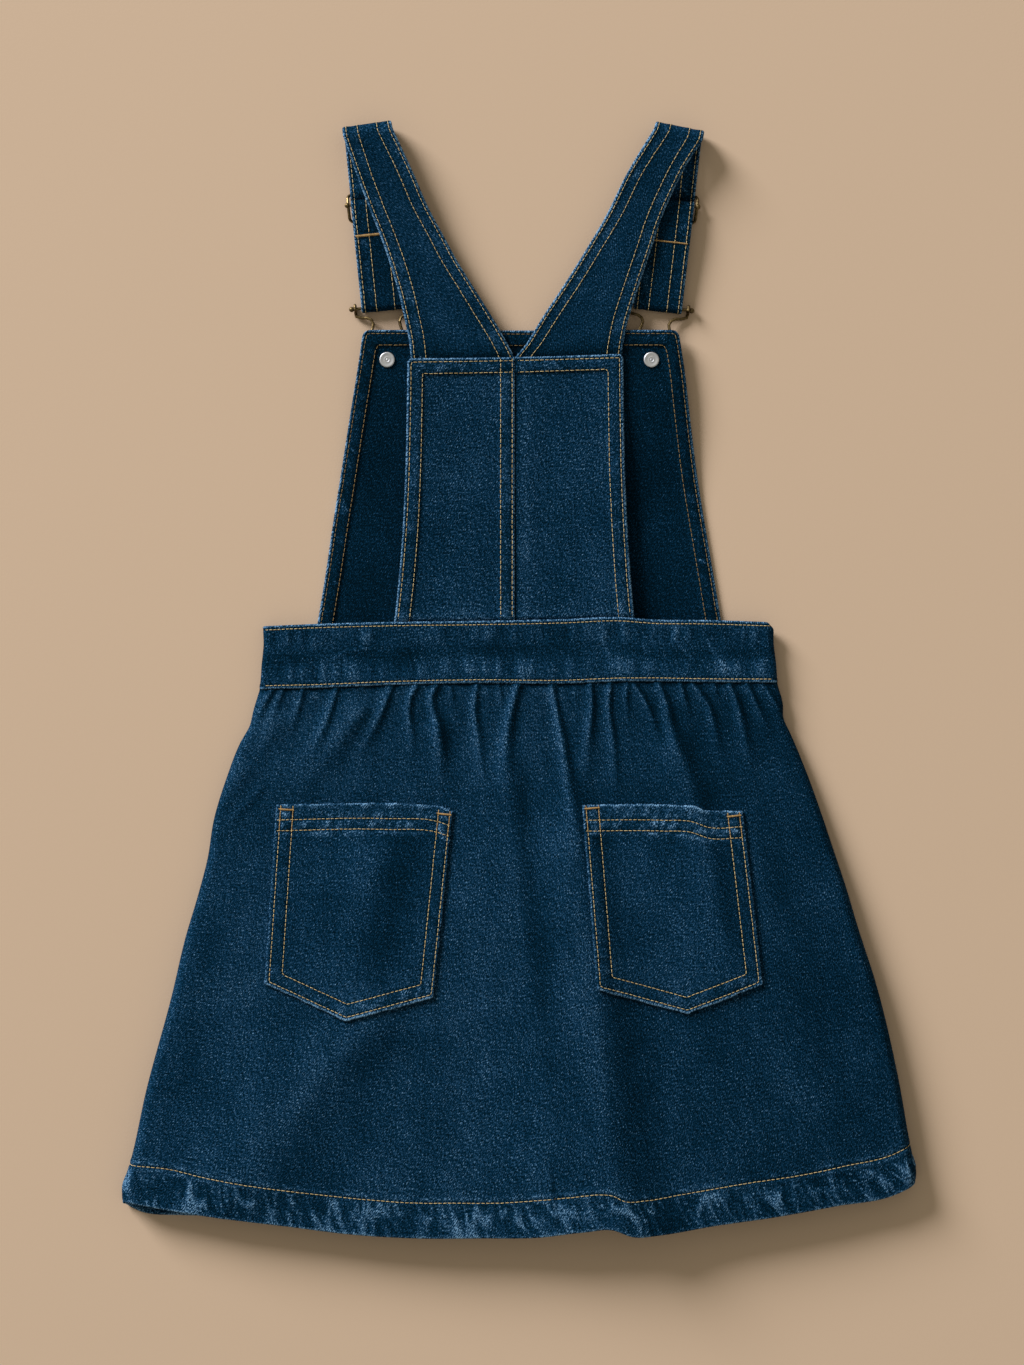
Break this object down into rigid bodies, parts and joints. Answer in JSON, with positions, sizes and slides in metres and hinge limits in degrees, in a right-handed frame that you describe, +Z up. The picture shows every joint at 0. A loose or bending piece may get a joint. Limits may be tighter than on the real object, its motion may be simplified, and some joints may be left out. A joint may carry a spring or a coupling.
{
  "type": "pinafore dress",
  "caption": "Child's denim pinafore dress laid face down: bib front and back, crossed-over buckled straps, waistband, gathered skirt and patch pockets.",
  "frame": {"origin": "middle of the dress's box seen from above, on the surface it lies on", "axes": "+Y from the hem towards the shoulders, +X to the right of the back as seen from above, +Z up"},
  "size_m": [0.4589, 0.6471, 0.0188],
  "materials": {
    "skirt_denim": "indigo twill, lightly washed, rubbed pale on folds and edges",
    "pocket_denim": "indigo twill, lightly washed",
    "waistband_denim": "indigo twill, lightly washed",
    "front_bib_denim": "indigo twill, dark",
    "back_bib_denim": "indigo twill, lightly washed",
    "strap_denim": "indigo twill, lightly washed",
    "antique_brass": "antiqued, satin",
    "button_brass": "antiqued, satin",
    "tack_nickel": "satin nickel"
  },
  "bodies": {
    "root": {"skirt_back": "skirt_denim", "skirt_front": "skirt_denim", "waistband_back": "waistband_denim", "waistband_front": "waistband_denim", "pocket_left": "pocket_denim", "pocket_right": "pocket_denim", "bib_front": "front_bib_denim", "bib_back_left": "back_bib_denim", "bib_back_right": "back_bib_denim", "strap_left": "strap_denim", "strap_right": "strap_denim", "slider_left": "antique_brass", "hook_bar_left": "antique_brass", "hook_left": "antique_brass", "button_left": "button_brass", "tack_left": "tack_nickel", "slider_right": "antique_brass", "hook_bar_right": "antique_brass", "hook_right": "antique_brass", "button_right": "button_brass", "tack_right": "tack_nickel"}
  },
  "joints": []
}
